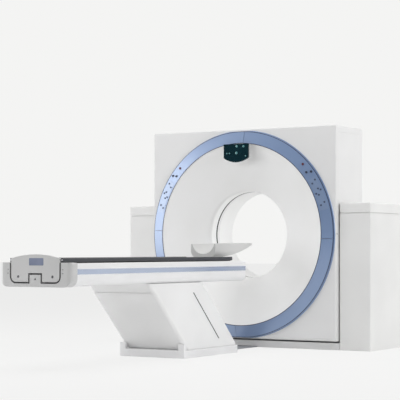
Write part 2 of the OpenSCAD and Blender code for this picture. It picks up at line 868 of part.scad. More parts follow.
// Rear part of the bore
module rear_liner() {
    w = cover_wall;
    color(white) round_bore() polygon([[bore_radius, window_end], [bore_radius, rear_lip_y],
        [bore_radius + w, rear_lip_y], [bore_radius + w, window_end]]);
}

// Wide rear mouth
module rear_funnel() {
    w = cover_wall;
    color(white) round_bore() polygon([[bore_radius, rear_lip_y],
        [rear_mouth_radius, rear_mouth_y], [rear_mouth_radius + rear_rim, rear_y],
        [rear_mouth_radius + rear_rim - 12, rear_y], [rear_mouth_radius, rear_mouth_y - w - 2],
        [bore_radius + w, rear_lip_y + 2], [bore_radius + w, rear_lip_y]]);
}

module tilt_frame() {
    corner = pulley_offset;
    color(steel) difference() {
        union() {
            disc_y(frame_radius, frame_y, frame_back, 120);
            both_sides() box(0, arm_reach, frame_y, frame_back, iso_height - 130, iso_height + 130);
            translate([corner, frame_y, iso_height + corner]) rotate([-90, 0, 0])
                cylinder(r = motor_radius + 20, h = frame_wall, $fn = 64);
            both_sides() box(arm_reach - arm_wall, arm_reach, -70, frame_back, iso_height - 130,
                iso_height + 130);
        }
        disc_y(bearing_radius + bearing_clearance, frame_y - 1, frame_back + 1, 120);
        bar_x(trunnion_radius, -arm_reach - 1, arm_reach + 1, 0, iso_height);
        translate([corner, frame_y - 1, iso_height + corner]) rotate([-90, 0, 0])
            cylinder(r = shaft_radius + 0.1, h = frame_wall + 2, $fn = 48);
    }
}

module trunnions() {
    color(steel) both_sides() union() {
        bar_x(trunnion_radius, arm_reach - arm_wall, stand_x + stand_wall, 0, iso_height);
        bar_x(trunnion_radius + 25, arm_reach - arm_wall - 14, arm_reach - arm_wall, 0, iso_height);
    }
}

// Outline round the rotor plate and the pulley, grown by t
module belt_path(t) {
    hull() {
        circle(r = belt_radius + t, $fn = 180);
        translate([pulley_offset, -pulley_offset]) circle(r = pulley_radius + t, $fn = 60);
    }
}

module drive_belt() {
    y = (rotor_y + rotor_back - belt_width) / 2;
    color(dark) translate([0, y, iso_height]) rotate([-90, 0, 0])
        linear_extrude(height = belt_width) difference() {
            belt_path(belt_clearance + belt_wall);
            belt_path(belt_clearance);
        }
}

module drive_motor() {
    color(dark) translate([pulley_offset, frame_back, iso_height + pulley_offset]) rotate([-90, 0, 0])
        union() {
            cylinder(r = motor_radius + 8, h = 14, $fn = 64);
            cylinder(r = motor_radius, h = motor_length, $fn = 64);
        }
}

// Outline of the display, drawn in by t
module display_outline(t) {
    half = display_width / 2;
    r = (half * half + display_arc_rise * display_arc_rise) / (2 * display_arc_rise);
    intersection() {
        translate([-half + t, -display_height + t]) square([display_width - 2 * t, display_height - 2 * t]);
        translate([0, r - display_height]) circle(r = r - t, $fn = 120);
    }
}

// Foot that carries the display on the slope of the mouth
module display_housing() {
    color(white) difference() {
        along_y(screen_back, front_y + 30) translate([0, iso_height + display_top])
            display_outline(display_foot_inset);
        round_bore() polygon([[bore_radius, lip_y], [ring_inner, front_y - ring_proud_inner],
            [ring_outer, front_y - ring_proud_inner], [ring_outer, 0], [bore_radius, 0]]);
    }
}

module display_glass() {
    color(dark) along_y(front_y - display_proud, screen_back) translate([0, iso_height + display_top])
        display_outline(0);
}

// Places something on the ring's slope, at radius r and angle a from the vertical
module on_ring(r, a) {
    y = front_y - ring_proud_outer - (ring_outer - r) * tan(ring_lean);
    translate([0, 0, iso_height]) rotate([0, a, 0]) translate([0, y, r])
        rotate([90 - ring_lean, 0, 0]) children();
}

// Film keypad with raised keys
module keypad(side) {
    lift = keypad_wall / cos(ring_lean);
    r0 = ring_inner + keypad_margin;
    r1 = ring_outer - keypad_margin;
    y0 = front_y - ring_proud_inner + keypad_margin * tan(ring_lean);
    y1 = front_y - ring_proud_outer - keypad_margin * tan(ring_lean);
    middle = (r0 + r1) / 2;
    gap = 0.02;
    a = side * keypad_start;
    s = side * keypad_sweep;
    color(dark) union() {
        translate([0, 0, iso_height]) rotate([0, side > 0 ? a : a + s, 0]) rotate([-90, -90, 0])
            rotate_extrude(angle = keypad_sweep, $fn = 180)
                polygon([[r0, y0 - gap], [r1, y1 - gap], [r1, y1 - lift], [r0, y0 - lift]]);
        for (k = [0, 1], j = [-1, 1]) film_key(middle + j * 16, a + s * (0.12 + k * 0.7 - j * 0.03));
        for (j = [-1, 1]) film_key(middle + j * 22, a + s * (0.45 - j * 0.03));
        for (j = [-1, 1]) film_key(middle - j * 6, a + s * (0.45 + j * 0.09));
    }
}

module film_key(r, a) {
    on_ring(r, a) translate([0, 0, 1])
        cylinder(d = film_key_diameter, h = keypad_wall + film_key_height - 1, $fn = 32);
}

module keypad_left() keypad(-1);

module keypad_right() keypad(1);

button_spots = [[ring_inner + 55, 46], [ring_outer - 21, 52.6], [ring_inner + 37, 51.2]];

// Holes for the push buttons, seen on the right half of the ring
module button_seats() {
    for (p = button_spots) on_ring(p[0], p[1]) translate([0, 0, -20])
        cylinder(d = button_diameter + 2 * button_clearance, h = 40, $fn = 48);
}

module push_button(k, side) {
    p = button_spots[k];
    seat = ring_wall * cos(ring_lean) + 0.3;
    on_ring(p[0], side * p[1]) union() {
        translate([0, 0, -seat])
            cylinder(d = button_diameter, h = seat + button_travel + button_proud, $fn = 48);
        translate([0, 0, -seat - 2]) cylinder(d = button_diameter + 3, h = 2, $fn = 48);
    }
}

module stop_button_left() color([0.8, 0.1, 0.1]) push_button(0, -1);

module stop_button_right() color([0.8, 0.1, 0.1]) push_button(0, 1);

module start_button_left() color(dark) push_button(1, -1);

module start_button_right() color(dark) push_button(1, 1);

module light_button_left() color(dark) push_button(2, -1);

module light_button_right() color(dark) push_button(2, 1);

module rotor_plate() {
    mid = (rotor_y + rotor_back) / 2;
    color(steel) difference() {
        disc_y(rotor_radius, rotor_y, rotor_back, 120);
        disc_y(rotor_inner_radius, rotor_y - 1, rotor_back + 1, 120);
        difference() {
            disc_y(rotor_radius + 1, mid - belt_width / 2 - 1, mid + belt_width / 2 + 1, 120);
            disc_y(belt_radius, mid - belt_width / 2 - 2, mid + belt_width / 2 + 2, 120);
        }
    }
}

module rotor_bearing() {
    color(steel) union() {
        ring_y(bearing_inner, bearing_radius, rotor_back, frame_back + 2);
        ring_y(bearing_inner, bearing_radius + 25, frame_back + 2, frame_back + 10);
    }
}

module xray_tube() {
    color(copper) union() {
        translate([0, rotor_y - tube_length, iso_height + tube_orbit]) rotate([-90, 0, 0])
            cylinder(r = tube_radius, h = tube_length, $fn = 72);
        box(-tube_radius * 0.74, tube_radius * 0.74, rotor_y - tube_length * 0.68, rotor_y,
            iso_height + tube_orbit - tube_radius - 5, iso_height + tube_orbit);
    }
}

module collimator() {
    z1 = iso_height + tube_orbit - tube_radius - 5;
    color(dark) difference() {
        box(-collimator_width / 2, collimator_width / 2, rotor_y - detector_length, rotor_y,
            z1 - collimator_height + 5, z1);
        box(-collimator_width / 2 + 20, collimator_width / 2 - 20, rotor_y - detector_length + 30,
            rotor_y - 30, z1 - collimator_height, z1 + 1);
    }
}

module detector_arc() {
    reach = tube_orbit + bore_radius + 90;
    color(dark) translate([0, rotor_y - detector_length, iso_height + tube_orbit]) rotate([-90, 0, 0])
        rotate_extrude_y(reach, reach + detector_wall);
}

// Ring sector about the X-ray tube, open by the fan angle
module rotate_extrude_y(r0, r1) {
    rotate([0, 0, 90 - detector_half_fan]) rotate_extrude(angle = 2 * detector_half_fan, $fn = 180)
        translate([r0, 0]) square([r1 - r0, detector_length]);
}

module generator_boxes() {
    x = rotor_inner_radius + 25;
    color(steel) both_sides() box(x, x + generator_width, rotor_y - generator_length, rotor_y,
        iso_height - generator_height / 2, iso_height + generator_height / 2);
}

module slip_ring() {
    color(copper) ring_y(slip_ring_radius - slip_ring_band, slip_ring_radius, rotor_back,
        rotor_back + slip_ring_wall);
}

module drive_pulley() {
    color(steel) translate([pulley_offset, rotor_y, iso_height + pulley_offset]) rotate([-90, 0, 0])
        union() {
            cylinder(r = pulley_radius, h = rotor_wall, $fn = 96);
            cylinder(r = pulley_radius + 8, h = 3, $fn = 96);
            translate([0, 0, rotor_wall - 3]) cylinder(r = pulley_radius + 8, h = 3, $fn = 96);
            cylinder(r = shaft_radius, h = frame_back - rotor_y - 0.2, $fn = 48);
        }
}

module column_slide() {
    color(white) difference() {
        slanted(slide_inset, inner_shell_bottom, trough_bottom);
        slanted(slide_inset + column_wall, inner_shell_bottom - 1, trough_bottom - 8);
        slanted(slide_inset + column_wall + 60, trough_bottom - 9, trough_bottom + 1);
    }
}

module lift_rod() {
    color(steel) intersection() {
        column_bar(rod_radius, inner_shell_bottom - 60, trough_bottom + 40);
        box(-rod_radius, rod_radius, -4 * column_length, column_length, 0, trough_bottom);
    }
}

// Section of the trough across the table, drawn in by t
module trough_section(t) {
    r = trough_corner - t;
    x = trough_width / 2 - t;
    soft_rect(-x, x, trough_bottom + t, trough_top - t, [r, r, 6, 6]);
}

module trough() {
    w = 5;
    color(white) difference() {
        along_y(trough_y, trough_end) trough_section(0);
        along_y(trough_y - 1, trough_end - trough_floor) translate([-channel_half, channel_floor])
            square([2 * channel_half, trough_top]);
        box(-channel_half, channel_half, trough_y, trough_end + 1, tabletop_underside - 8, trough_top + 1);
        both_sides() along_y(trough_y - 1, trough_end - 8) intersection() {
            trough_section(w);
            translate([channel_half + w, trough_bottom]) square([side_beam, trough_top]);
        }
        both_sides() stripe_cut();
    }
}

module stripe_cut() {
    x = trough_width / 2;
    box(x - stripe_depth, x + 1, trough_y + stripe_foot_margin, trough_end + 1,
        stripe_middle - stripe_height / 2, stripe_middle + stripe_height / 2);
}

module side_stripes() {
    x = trough_width / 2;
    color(blue) both_sides() box(x - stripe_depth, x + stripe_proud, trough_y + stripe_foot_margin,
        trough_end, stripe_middle - stripe_height / 2, stripe_middle + stripe_height / 2);
}

// Beam on which the carriage runs
module guide_beam() {
    color(grey) box(-beam_width / 2, beam_width / 2, beam_y, trough_end - trough_floor, channel_floor,
        channel_floor + beam_height);
}

// End plate's outline, grown by t
module plate_outline(t) {
    x = end_plate_half_width + t;
    rise = end_plate_rise;
    r = (x * x + rise * rise) / (2 * rise);
    difference() {
        intersection() {
            soft_rect(-x, x, plate_bottom - t, tabletop_rim + rise + t, [36 + t, 36 + t, 8, 8]);
            translate([0, tabletop_rim + rise + t - r]) circle(r = r, $fn = 180);
        }
        soft_rect(-notch_half_width + t, notch_half_width - t, plate_bottom - 2 * t - 1, notch_top - t,
            [0, 0, 4, 4]);
    }
}

// Cap on the foot end of the trough
module foot_cap() {
    x = foot_cap_half_width;
    r = foot_cap_edge;
    z0 = trough_bottom - foot_cap_drop;
    c = foot_cap_corner;
    color(grey) difference() {
        intersection() {
            along_y(foot_y, trough_y) soft_rect(-x, x, z0, trough_top + 4, [c, c, 12, 12]);
            along_z(z0 - 1, iso_height) soft_rect(-x, x, foot_y, trough_y, [r, r, 0, 0]);
        }
        along_y(foot_y - 1, trough_y + 1) plate_outline(end_plate_clearance);
        box(-channel_half, channel_half, beam_y, trough_y + 1, channel_floor, iso_height);
        box(-channel_half, channel_half, tabletop_y - 5, trough_y + 1, tabletop_rim - tabletop_dish,
            iso_height);
        translate([0, foot_y - 1, (channel_floor + notch_top) / 2]) rotate([-90, 0, 0])
            cylinder(r = 7, h = 7, $fn = 32);
        both_sides() for (z = [stripe_middle - 10, stripe_middle + 15])
            translate([x - 62, foot_y - 1, z]) rotate([-90, 0, 0]) cylinder(r = 4, h = 6, $fn = 24);
    }
}

module tabletop() {
    color(grey) along_y(tabletop_y, tabletop_end) intersection() {
        difference() {
            translate([0, dish_z]) circle(r = underside_radius, $fn = 180);
            translate([0, dish_z]) circle(r = dish_radius, $fn = 180);
        }
        translate([-tabletop_half, tabletop_underside - 1]) square([tabletop_width, tabletop_rim]);
    }
}

module side_rails() {
    color(dark) both_sides() along_y(tabletop_y - 3, tabletop_end)
        soft_rect(tabletop_half, tabletop_half + rail_width, tabletop_rim - rail_height, tabletop_rim + 2,
            [3, 3, 5, 3]);
}

module end_plate() {
    color(grey) difference() {
        along_y(tabletop_y - 17, tabletop_y - 17 + end_plate_wall) plate_outline(0);
        along_y(tabletop_y - 18, tabletop_y - 14) end_window_outline(0);
        along_y(tabletop_y, tabletop_y + end_plate_wall) intersection() {
            translate([0, dish_z]) circle(r = underside_radius, $fn = 180);
            translate([-tabletop_half, tabletop_underside - 1]) square([tabletop_width, tabletop_rim]);
        }
        for (x = [-0.71, 0.71])
            translate([x * end_plate_half_width, tabletop_y - 18, plate_bottom + 34]) rotate([-90, 0, 0])
                cylinder(r = 9, h = 4, $fn = 32);
    }
}

module end_window_outline(t) {
    soft_rect(-50 - t, 68 + t, tabletop_rim - 46 - t, tabletop_rim + 2 + t, [5, 5, 5, 5]);
}

module end_window() {
    color(dark) along_y(tabletop_y - 16, tabletop_y - 14) end_window_outline(0);
}

module carriage() {
    y0 = tabletop_y + end_plate_wall;
    c = carriage_clearance;
    half = beam_width / 2;
    color(steel) difference() {
        box(-half - 24, half + 24, y0, y0 + carriage_length, channel_floor + 12, tabletop_underside + 2);
        box(-half - c, half + c, y0 - 1, y0 + carriage_length + 1, channel_floor,
            channel_floor + beam_height + c);
        translate([0, y0 - 1, dish_z]) rotate([-90, 0, 0])
            cylinder(r = underside_radius, h = carriage_length + 2, $fn = 180);
    }
}

// Side view of the head holder, its underside lifted by t
module holder_side(t) {
    z0 = tabletop_rim - 2 + t;
    polygon(concat(
        [[holder_y - t, z0]],
        [for (k = [0:12]) [tabletop_end + (holder_reach - 2 * t) * k / 12,
            z0 + (holder_top - tabletop_rim - 14) * pow(k / 12, 1.7)]],
        [[tabletop_end + holder_reach - t, holder_top + t],
            [holder_y - t, tabletop_rim + holder_height + t]]));
}

// Open head holder that reaches out beyond the tabletop, with a foot that lies in its dish
module head_holder() {
    x = holder_half_width;
    y1 = tabletop_end + holder_reach;
    e = holder_edge_radius;
    color(white) difference() {
        union() {
            intersection() {
                along_x(-x, x) holder_side(0);
                along_y(holder_y, y1) soft_rect(-x, x, tabletop_rim - 2, holder_top + 1, [e, e, 0, 0]);
            }
            along_y(holder_y, tabletop_end) intersection() {
                translate([-0.8 * x, tabletop_rim - tabletop_dish]) square([1.6 * x, tabletop_dish + 20]);
                translate([0, dish_z]) circle(r = dish_radius - holder_gap, $fn = 180);
            }
        }
        intersection() {
            along_x(-x, x) holder_side(holder_wall);
            along_y(holder_y - 1, y1) translate([0, holder_top + 12])
                circle(r = x - holder_wall, $fn = 120);
        }
    }
}

base_frame();
plinth_cover();
tilt_stand_left();
tilt_stand_right();
tilt_bushes();
cabinet_left();
cabinet_right();
cabinet_cap_left();
cabinet_cap_right();
pedestal_base();
column_shell();
column_seals();
lift_actuator();
front_cover_upper();
front_cover_lower();
ring_trim();
front_funnel();
front_liner();
scan_window();
rear_liner();
rear_funnel();
rear_cover();
side_cover_left();
side_cover_right();
top_cover();
belly_pan();
tilt_frame();
trunnions();
drive_belt();
drive_motor();
display_housing();
display_glass();
keypad_left();
keypad_right();
rotor_plate();
rotor_bearing();
xray_tube();
collimator();
detector_arc();
generator_boxes();
slip_ring();
drive_pulley();
stop_button_left();
stop_button_right();
start_button_left();
start_button_right();
light_button_left();
light_button_right();
column_slide();
lift_rod();
trough();
side_stripes();
guide_beam();
foot_cap();
tabletop();
side_rails();
end_plate();
end_window();
carriage();
head_holder();
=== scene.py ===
"""Dresses a CT scanner: finishes for its CAD nodes, small fittings, soft studio light and the camera."""
import json
import logging
import math
from dataclasses import dataclass
from enum import Enum

import bmesh
import bpy
from mathutils import Matrix, Vector


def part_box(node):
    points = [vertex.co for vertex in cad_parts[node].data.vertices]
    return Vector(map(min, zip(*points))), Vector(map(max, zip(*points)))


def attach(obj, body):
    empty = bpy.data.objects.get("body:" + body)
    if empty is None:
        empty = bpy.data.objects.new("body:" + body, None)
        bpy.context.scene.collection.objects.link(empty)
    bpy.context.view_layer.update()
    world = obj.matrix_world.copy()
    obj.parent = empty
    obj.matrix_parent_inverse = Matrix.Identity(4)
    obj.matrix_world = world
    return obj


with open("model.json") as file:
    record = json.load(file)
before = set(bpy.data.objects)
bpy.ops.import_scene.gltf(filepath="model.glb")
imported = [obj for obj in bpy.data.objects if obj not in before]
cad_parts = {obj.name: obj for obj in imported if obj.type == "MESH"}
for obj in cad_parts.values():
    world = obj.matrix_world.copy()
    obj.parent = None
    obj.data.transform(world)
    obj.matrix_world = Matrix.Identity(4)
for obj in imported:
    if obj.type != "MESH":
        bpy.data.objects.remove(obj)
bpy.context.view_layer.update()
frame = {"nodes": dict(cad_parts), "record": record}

LOG = logging.getLogger("ct_scanner")

Point = tuple[float, float, float]
Colour = tuple[float, float, float]

# Corners of the nodes that carry the fittings, in metres as every size here
RING_LOW, RING_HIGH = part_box("ring_trim")
GLASS_LOW, GLASS_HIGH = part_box("display_glass")
CAP_LOW, CAP_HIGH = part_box("foot_cap")
PLATE_LOW, PLATE_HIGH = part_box("end_plate")
STRIPE_LOW, STRIPE_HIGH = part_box("side_stripes")
RAIL_LOW, RAIL_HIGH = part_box("side_rails")
FRONT_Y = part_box("front_cover_upper")[0].y
WINDOW_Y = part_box("scan_window")[0].y
ISO_HEIGHT = (RING_LOW.z + RING_HIGH.z) / 2.0

# Sloping face of the coloured ring
RING_OUTER = 0.826
RING_INNER = 0.735
RING_STEP = 0.018
RING_RISE = 0.021
RING_LEAN = math.atan(RING_RISE / (RING_OUTER - RING_INNER))

# Turn that brings +Z onto -Y, towards the table's foot end
TO_FOOT = Matrix.Rotation(math.radians(90.0), 4, "X")

# Fineness of the meshes
MERGE_DISTANCE = 1e-6
SHARP_ANGLE = math.radians(35.0)
BEAD_SIDES = 10
BEAD_STEPS = 192
STUD_SIDES = 24
RIM_SEGMENTS = 2

# Values that all finishes share
NOISE_DETAIL = 2.0
NOISE_LOW = 0.3
NOISE_HIGH = 0.7
BROAD_SCALE = 2.3
COAT_ROUGHNESS = 0.22
BRIGHTEST = 0.95


class Surface(Enum):
    """Kinds of fine surface that a finish can have."""

    SATIN = (0.06, 0.10, 1.0)
    GRAINED = (0.25, 0.10, 1.0)
    BRUSHED = (0.15, 0.22, 0.03)
    CAST = (0.5, 0.10, 1.0)

    def __init__(self, bump: float, swing: float, stretch: float) -> None:
        """Keeps what a kind of surface does.

        Args:
            bump: Strength of its bump.
            swing: Share by which its roughness varies.
            stretch: Scale of its grain along Y.
        """
        self.bump = bump
        self.swing = swing
        self.stretch = stretch


def linear(step: float) -> float:
    """Turns one step of a seen colour into its linear value.

    Args:
        step: Step from 0 to 255.

    Returns:
        The linear value from 0 to 1.
    """
    value = step / 255.0
    return value / 12.92 if value <= 0.04045 else ((value + 0.055) / 1.055) ** 2.4


def srgb(red: float, green: float, blue: float) -> Colour:
    """Gives the linear colour of three seen steps from 0 to 255."""
    return (linear(red), linear(green), linear(blue))


class NodeTree:
    """Thin helper for building one material's nodes."""

    def __init__(self, name: str) -> None:
        """Makes a material with a Principled shader alone.

        Args:
            name: Name of the material.
        """
        self.material = bpy.data.materials.new(name)
        self.material.use_nodes = True
        self.tree = self.material.node_tree
        self.shader = self.tree.nodes["Principled BSDF"]

    def add(self, kind: str, **settings: object) -> bpy.types.Node:
        """Adds a node and sets its properties.

        Args:
            kind: Type name of the node.
            **settings: Properties to set on it.

        Returns:
            The new node.
        """
        node = self.tree.nodes.new(kind)
        for key, value in settings.items():
            setattr(node, key, value)
        return node

    def link(self, source: bpy.types.NodeSocket, target: bpy.types.NodeSocket) -> None:
        """Links two sockets."""
        self.tree.links.new(source, target)

    def even(self, values: dict[str, float | tuple[float, ...]]) -> None:
        """Sets values that are the same all over on the shader's own sockets.

        Args:
            values: Value for each socket's name.
        """
        for name, value in values.items():
            self.shader.inputs[name].default_value = value

    def place(self, scale: Point = (1.0, 1.0, 1.0)) -> bpy.types.NodeSocket:
        """Gives Object coordinates stretched by a scale.

        Args:
            scale: Factor along each axis.

        Returns:
            The vector socket.
        """
        where = self.add("ShaderNodeTexCoord")
        mapping = self.add("ShaderNodeMapping")
        mapping.inputs["Scale"].default_value = scale
        self.link(where.outputs["Object"], mapping.inputs["Vector"])
        return mapping.outputs["Vector"]

    def noise(self, vector: bpy.types.NodeSocket, scale: float) -> bpy.types.NodeSocket:
        """Adds a noise texture.

        Args:
            vector: Where it is read.
            scale: Its scale.

        Returns:
            Its value socket.
        """
        node = self.add("ShaderNodeTexNoise")
        node.inputs["Scale"].default_value = scale
        node.inputs["Detail"].default_value = NOISE_DETAIL
        self.link(vector, node.inputs["Vector"])
        return node.outputs["Fac"]

    def spread(self, value: bpy.types.NodeSocket, low: float, high: float) -> bpy.types.NodeSocket:
        """Maps the middle range of a noise onto low to high.

        Args:
            value: Socket to map.
            low: Result at the foot of the range.
            high: Result at its top.

        Returns:
            The mapped socket.
        """
        node = self.add("ShaderNodeMapRange")
        node.inputs["From Min"].default_value = NOISE_LOW
        node.inputs["From Max"].default_value = NOISE_HIGH
        node.inputs["To Min"].default_value = low
        node.inputs["To Max"].default_value = high
        self.link(value, node.inputs["Value"])
        return node.outputs["Result"]

    def blend(self, factor: bpy.types.NodeSocket, first: Colour, second: Colour) -> bpy.types.NodeSocket:
        """Blends two colours by a factor.

        Args:
            factor: Socket from 0 to 1.
            first: Colour at 0.
            second: Colour at 1.

        Returns:
            The colour socket.
        """
        node = self.add("ShaderNodeMix", data_type="RGBA")
        node.inputs["A"].default_value = (*first, 1.0)
        node.inputs["B"].default_value = (*second, 1.0)
        self.link(factor, node.inputs["Factor"])
        return node.outputs["Result"]

    def bump(self, height: bpy.types.NodeSocket, strength: float, distance: float) -> None:
        """Puts a bump on the shader's normal.

        Args:
            height: Height socket.
            strength: Bump strength.
            distance: Height of the bump in metres.
        """
        node = self.add("ShaderNodeBump")
        node.inputs["Strength"].default_value = strength
        node.inputs["Distance"].default_value = distance
        self.link(height, node.inputs["Height"])
        self.link(node.outputs["Normal"], self.shader.inputs["Normal"])


@dataclass(frozen=True)
class Coating:
    """What a piece is finished with: one material, shared by all pieces that have it."""

    name: str

    def material(self) -> bpy.types.Material:
        """Builds the material once and returns it afterwards.

        Returns:
            The material.
        """
        title = f"{self.name}_finish"
        known = bpy.data.materials.get(title)
        if known is not None:
            return known
        nodes = NodeTree(title)
        self.paint(nodes)
        return nodes.material

    def paint(self, nodes: NodeTree) -> None:
        """Sets the nodes, which each kind of coating does in its own way."""
        raise NotImplementedError


@dataclass(frozen=True)
class Finish(Coating):
    """Paint, plastic or metal, with its fine surface and slight unevenness."""

    colour: Colour
    roughness: float = 0.4
    metallic: float = 0.0
    coat: float = 0.0
    coat_ior: float = 1.5
    surface: Surface = Surface.SATIN
    unevenness: float = 0.03
    grain: float = 900.0
    depth: float = 0.00006

    def paint(self, nodes: NodeTree) -> None:
        """Sets the colour, the gloss and the fine surface.

        Args:
            nodes: Nodes of the material.
        """
        nodes.even({"Metallic": self.metallic, "Coat Weight": self.coat, "Coat Roughness": COAT_ROUGHNESS,
                    "Coat IOR": self.coat_ior})
        where = nodes.place((1.0, self.surface.stretch, 1.0))
        broad = nodes.noise(where, BROAD_SCALE)
        fine = nodes.noise(where, self.grain)
        dark = tuple(part * (1.0 - self.unevenness) for part in self.colour)
        light = tuple(min(part * (1.0 + self.unevenness), BRIGHTEST) for part in self.colour)
        colour = nodes.blend(nodes.spread(broad, 0.0, 1.0), dark, light)
        nodes.link(colour, nodes.shader.inputs["Base Color"])
        smoothest = self.roughness * (1.0 - self.surface.swing)
        roughest = min(self.roughness * (1.0 + self.surface.swing), 1.0)
        nodes.link(nodes.spread(fine, smoothest, roughest), nodes.shader.inputs["Roughness"])
        nodes.bump(fine, self.surface.bump, self.depth)


@dataclass(frozen=True)
class CarbonWeave(Coating):
    """Matt carbon-fibre laminate with a fine twill."""

    dark: Colour = (0.030, 0.032, 0.036)
    light: Colour = (0.075, 0.078, 0.085)
    pitch: float = 0.006
    roughness: float = 0.38
    coat: float = 0.3
    bump: float = 0.12
    depth: float = 0.0002

    def paint(self, nodes: NodeTree) -> None:
        """Args:
            nodes: Nodes of the material.
        """
        nodes.even({"Roughness": self.roughness, "Coat Weight": self.coat})
        checks = nodes.add("ShaderNodeTexChecker")
        checks.inputs["Scale"].default_value = 1.0
        nodes.link(nodes.place((1.0 / self.pitch, 1.0 / self.pitch, 0.0)), checks.inputs["Vector"])
        colour = nodes.blend(checks.outputs["Fac"], self.dark, self.light)
        nodes.link(colour, nodes.shader.inputs["Base Color"])
        nodes.bump(checks.outputs["Fac"], self.bump, self.depth)


@dataclass(frozen=True)
class GlassFace(Coating):
    """Smooth face of a display or a window, which may glow faintly."""

    colour: Colour
    glow: float = 0.0
    roughness: float = 0.12
    coat: float = 0.5
    veil_scale: float = 6.0
    veil_depth: float = 0.7

    def paint(self, nodes: NodeTree) -> None:
        """Sets the face's veil, gloss and glow.

        Args:
            nodes: Nodes of the material.
        """
        nodes.even({"Roughness": self.roughness, "Coat Weight": self.coat})
        veil = nodes.spread(nodes.noise(nodes.place(), self.veil_scale), 0.0, 1.0)
        dim = tuple(part * self.veil_depth for part in self.colour)
        nodes.link(nodes.blend(veil, dim, self.colour), nodes.shader.inputs["Base Color"])
        if self.glow > 0.0:
            nodes.even({"Emission Color": (*self.colour, 1.0), "Emission Strength": self.glow})


COVER_WHITE = Finish("cover_white", srgb(231, 231, 231), 0.46, coat=0.06)
TROUGH_WHITE = Finish("trough_white", srgb(243, 243, 244), 0.44, coat=0.06)
CABINET_WHITE = Finish("cabinet_white", srgb(234, 234, 233), 0.5, surface=Surface.GRAINED)
# Bore white: partly the liners' own white, partly painted light, raised above the covers' white for the
# brightly lit bore
BORE_WHITE_LIT = Finish("bore_white_lit", srgb(248, 248, 247), 0.5)
SCAN_BAND = Finish("scan_band", srgb(240, 240, 240), 0.3, coat=0.2)
RING_BLUE = Finish("ring_blue", srgb(130, 153, 191), 0.38, 0.32, coat=1.0, coat_ior=1.7, grain=1400.0)
# Colour of the ring's edge beads: painted shade for the shadow gaps round the ring
RING_EDGE_SHADE = Finish("ring_edge", srgb(48, 58, 80), 0.45)
STRIPE_BLUE = Finish("stripe_blue", srgb(186, 197, 217), 0.22, 0.65)
COVER_GREY = Finish("cover_grey", srgb(209, 209, 209), 0.55, surface=Surface.GRAINED)
COLUMN_GREY = Finish("column_grey", srgb(245, 245, 245), 0.55, surface=Surface.GRAINED)
HOLDER_SHELL = Finish("holder_shell", srgb(217, 217, 216), 0.5)
RAIL_BLACK = Finish("rail_black", srgb(64, 66, 71), 0.35, 0.3)
KEY_FILM = Finish("key_film", srgb(136, 157, 191), 0.38, 0.28, coat=1.0, coat_ior=1.7)
KEY_CAP = Finish("key_cap", srgb(66, 78, 102), 0.5)
BUTTON_RED = Finish("button_red", srgb(92, 44, 54), 0.45)
BUTTON_BLACK = Finish("button_black", srgb(50, 58, 76), 0.45)
SEAL = Finish("seal", srgb(52, 52, 54), 0.8, surface=Surface.GRAINED)
# Black of the foot cap's real rubber edging and of the painted shade band in the bore's slit
SEAL_AND_SLIT_SHADE_BLACK = Finish("seal_and_slit_shade_black", srgb(30, 31, 34), 0.7)
FRAME_STEEL = Finish("frame_steel", srgb(150, 152, 156), 0.5, surface=Surface.CAST)
BRIGHT_STEEL = Finish("bright_steel", srgb(205, 206, 210), 0.3, 1.0, surface=Surface.BRUSHED, grain=300.0)
SCREW_STEEL = Finish("screw_steel", srgb(120, 122, 126), 0.35, 0.8)
TUBE_STEEL = Finish("tube_steel", srgb(120, 122, 126), 0.45, surface=Surface.CAST)
BRONZE = Finish("bronze", srgb(196, 150, 84), 0.35, 1.0, surface=Surface.BRUSHED, grain=300.0)
ROTOR_ALLOY = Finish("rotor_alloy", srgb(200, 202, 206), 0.35, 1.0, surface=Surface.BRUSHED, grain=300.0)
DETECTOR_BLACK = Finish("detector_black", srgb(44, 45, 48), 0.5, surface=Surface.GRAINED)
DISPLAY_FACE = GlassFace("display_face", srgb(8, 42, 50), 0.10)
DISPLAY_MARK = GlassFace("display_mark", srgb(84, 134, 136), 0.20)
WINDOW_FILM = GlassFace("window_film", srgb(150, 158, 182))
CARBON = CarbonWeave("carbon_weave")

SLOT_COATINGS: dict[str, Coating] = {
    "cover_white": COVER_WHITE,
    "cover_grey": COVER_GREY,
    "ring_blue": RING_BLUE,
    "key_film": KEY_FILM,
    "button_red": BUTTON_RED,
    "button_black": BUTTON_BLACK,
    "display_glass": DISPLAY_FACE,
    "window_film": WINDOW_FILM,
    "carbon": CARBON,
    "holder_shell": HOLDER_SHELL,
    "rail_black": RAIL_BLACK,
    "seal": SEAL,
    "frame_steel": FRAME_STEEL,
    "bright_steel": BRIGHT_STEEL,
    "bronze": BRONZE,
    "rotor_alloy": ROTOR_ALLOY,
    "tube_steel": TUBE_STEEL,
    "detector_black": DETECTOR_BLACK,
}

# Nodes whose finish differs a little from that of their slot
NODE_COATINGS: dict[str, Coating] = {
    # The funnel and liners take the bore white, which carries painted light
    "front_funnel": BORE_WHITE_LIT,
    "front_liner": BORE_WHITE_LIT,
    "rear_liner": BORE_WHITE_LIT,
    "scan_window": SCAN_BAND,
    "cabinet_left": CABINET_WHITE,
    "cabinet_right": CABINET_WHITE,
    "cabinet_cap_left": CABINET_WHITE,
    "cabinet_cap_right": CABINET_WHITE,
    "display_housing": COVER_WHITE,
    "trough": TROUGH_WHITE,
    "pedestal_base": TROUGH_WHITE,
    "column_shell": COLUMN_GREY,
    "column_slide": COLUMN_GREY,
    "side_stripes": STRIPE_BLUE,
}


